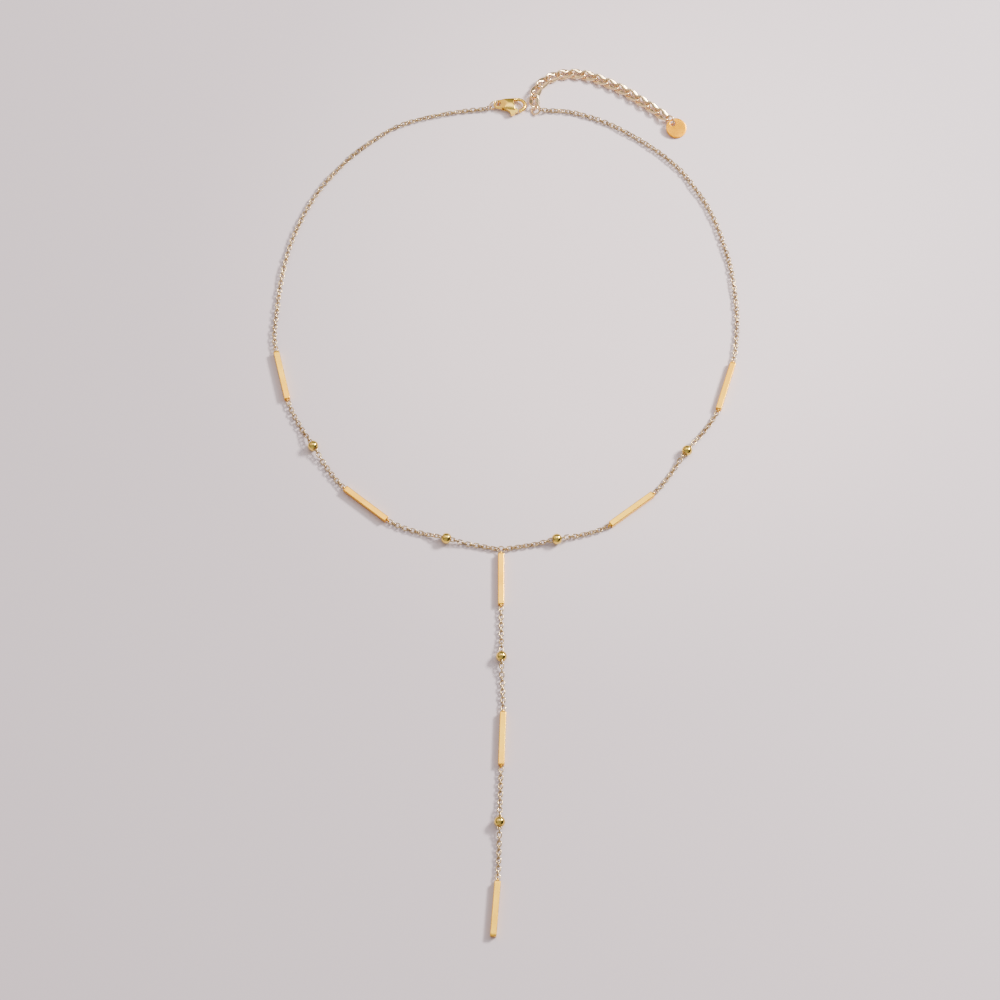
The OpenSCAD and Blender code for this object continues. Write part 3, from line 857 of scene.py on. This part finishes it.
def makeClaspLever():
    half = lever["thickness"] / 2
    arm = prism(lever["plan"], -half, half)
    barrel = prism(roundOutline(*clasp["pinAt"], lever["barrel"]), -half, half)
    bore = prism(roundOutline(*clasp["pinAt"], lever["bore"]), -2 * half, 2 * half)
    arm = cut(arm, ("UNION", barrel), ("DIFFERENCE", bore))
    part = moved(cast([arm], casting["softening"], casting["share"]), claspMatrix())
    piece = addPiece("clasp_lever_cast", part, golds["claspGold"])
    finishPiece(piece, "clasp_gold", "clasp_lever", body="lever")


makeClaspBody()
makeClaspLever()
print("clasp made")


# Floor: pale, with painted light: lighter in a painted pool of light round the middle of the loop, and
# darker further out as painted falloff of the light

floorLook = {
    "half": 2.5, "rough": 0.85, "gloss": 0.2,
    # The two tones are painted light and shade: the lighter one is a painted pool of light at the middle,
    # and the outer one is darker where the light is painted as falling off
    "paintedLightPool": (0.80, 0.69, 0.72), "edge": (0.66, 0.575, 0.615),
    "at": (0.033, 0.065, 0), "reach": 0.25, "edgeAt": 0.5, "paintedLightPoolAt": 0.86,
    "cloud": 6, "cloudDetail": 2, "cloudShare": 0.08,
}


def makeFloor():
    half = floorLook["half"]
    mesh = bpy.data.meshes.new("floor")
    corners = [(-half, -half, 0), (half, -half, 0), (half, half, 0), (-half, half, 0)]
    mesh.from_pydata(corners, [], [(0, 1, 2, 3)])
    floor = bpy.data.objects.new("floor", mesh)
    bpy.context.scene.collection.objects.link(floor)
    material = bpy.data.materials.new("paleFloor")
    material.use_nodes = True
    tree = material.node_tree
    shader = tree.nodes["Principled BSDF"]
    shader.inputs["Roughness"].default_value = floorLook["rough"]
    shader.inputs["Specular IOR Level"].default_value = floorLook["gloss"]
    place = tree.nodes.new("ShaderNodeTexCoord").outputs["Object"]
    cloud = addNoise(tree, place, floorLook["cloud"], floorLook["cloudDetail"])
    # Painted pool of light: a round gradient about the middle blends from the darker outer tone to the
    # lighter middle one
    middle = tree.nodes.new("ShaderNodeMapping")
    middle.vector_type = "TEXTURE"
    middle.inputs["Location"].default_value = floorLook["at"]
    middle.inputs["Scale"].default_value = [floorLook["reach"]] * 3
    paintedLightPool = tree.nodes.new("ShaderNodeTexGradient")
    paintedLightPool.gradient_type = "SPHERICAL"
    share = tree.nodes.new("ShaderNodeMath")
    share.operation = "MULTIPLY_ADD"
    share.inputs[1].default_value = floorLook["cloudShare"]
    tree.links.new(place, middle.inputs["Vector"])
    tree.links.new(middle.outputs["Vector"], paintedLightPool.inputs["Vector"])
    tree.links.new(cloud, share.inputs[0])
    tree.links.new(paintedLightPool.outputs["Fac"], share.inputs[2])
    stops = [(floorLook["edgeAt"], floorLook["edge"]), (floorLook["paintedLightPoolAt"], floorLook["paintedLightPool"])]
    tones = addTones(tree, share.outputs["Value"], stops)
    tones.color_ramp.interpolation = "EASE"
    tree.links.new(tones.outputs["Color"], shader.inputs["Base Color"])
    mesh.materials.append(material)


# Sky: grey from below to above, with soft round patches of other colours

sky = {
    "strength": 0.68,
    "horizon": (0.24, 0.22, 0.21),
    "zenith": (0.80, 0.80, 0.84),
    "patches": [
        {"from": (-0.36, -0.88, 0.30), "inner": 0.95, "outer": 0.72, "colour": (1.1, 1.0, 0.9)},
        {"from": (-0.57, 0.37, 0.73), "inner": 0.97, "outer": 0.80, "colour": (2.1, 1.75, 1.55)},
        {"from": (0.93, -0.28, 0.22), "inner": 0.96, "outer": 0.62, "colour": (0.05, 0.045, 0.035)},
    ],
}


def skyPatch(tree, direction, under, patch):
    dot = tree.nodes.new("ShaderNodeVectorMath")
    dot.operation = "DOT_PRODUCT"
    dot.inputs[1].default_value = Vector(patch["from"]).normalized()
    reach = tree.nodes.new("ShaderNodeMapRange")
    reach.interpolation_type = "SMOOTHSTEP"
    reach.inputs["From Min"].default_value = patch["outer"]
    reach.inputs["From Max"].default_value = patch["inner"]
    mix = tree.nodes.new("ShaderNodeMixRGB")
    mix.inputs["Color2"].default_value = (*patch["colour"], 1)
    tree.links.new(direction, dot.inputs[0])
    tree.links.new(dot.outputs["Value"], reach.inputs["Value"])
    tree.links.new(reach.outputs["Result"], mix.inputs["Fac"])
    tree.links.new(under, mix.inputs["Color1"])
    return mix.outputs["Color"]


def makeSky():
    world = bpy.data.worlds.new("studio")
    bpy.context.scene.world = world
    world.use_nodes = True
    tree = world.node_tree
    background = tree.nodes["Background"]
    background.inputs["Strength"].default_value = sky["strength"]
    direction = tree.nodes.new("ShaderNodeTexCoord").outputs["Generated"]
    split = tree.nodes.new("ShaderNodeSeparateXYZ")
    tree.links.new(direction, split.inputs["Vector"])
    colour = addTones(tree, split.outputs["Z"], [(0, sky["horizon"]), (1, sky["zenith"])]).outputs["Color"]
    for patch in sky["patches"]:
        colour = skyPatch(tree, direction, colour, patch)
    tree.links.new(colour, background.inputs["Color"])


# Lamps: each shines on the middle from a direction on the plan, at a height in degrees

lamps = {
    "key": {"from": (0.88, 0.475), "height": 36, "distance": 0.85,
            "width": 0.245, "tall": 0.136, "power": 16, "colour": (1.0, 0.97, 0.93)},
    "bank": {"from": (0.94, 0.34), "height": 52, "distance": 0.9,
             "width": 0.415, "tall": 0.235, "power": 2.5, "colour": (1.0, 0.98, 0.95)},
    "panel": {"from": (0, 1), "height": 70, "distance": 1.3,
              "width": 0.62, "tall": 0.62, "power": 3.75, "colour": (1.0, 0.99, 0.97)},
}
camera = {"target": (-1.6, -6.5, 0), "elevation": 68, "distance": 861.1,
          "lens": 111.6, "sensor": 36, "near": 0.01, "far": 20}


def aim(thing, place, target):
    thing.location = place
    thing.rotation_euler = (Vector(target) - Vector(place)).to_track_quat("-Z", "Y").to_euler()


def addLamp(name, lamp):
    light = bpy.data.lights.new(name, "AREA")
    light.shape = "RECTANGLE"
    light.size = lamp["width"]
    light.size_y = lamp["tall"]
    light.energy = lamp["power"]
    light.color = lamp["colour"]
    thing = bpy.data.objects.new(name, light)
    bpy.context.scene.collection.objects.link(thing)
    height = math.radians(lamp["height"])
    flat = Vector(lamp["from"]).normalized() * math.cos(height) * lamp["distance"]
    aim(thing, (flat[0], flat[1], math.sin(height) * lamp["distance"]), (0, 0, 0))


def makeCamera():
    data = bpy.data.cameras.new("camera")
    data.lens = camera["lens"]
    data.sensor_width = camera["sensor"]
    data.clip_start = camera["near"]
    data.clip_end = camera["far"]
    eyePoint = bpy.data.objects.new("camera", data)
    bpy.context.scene.collection.objects.link(eyePoint)
    target = Vector(camera["target"]) * mm
    e = math.radians(camera["elevation"])
    away = Vector((0, -math.cos(e), math.sin(e))) * camera["distance"] * mm
    aim(eyePoint, target + away, target)
    bpy.context.scene.camera = eyePoint


makeFloor()
makeSky()
for name, lamp in lamps.items():
    addLamp(name, lamp)
makeCamera()
print("studio made")
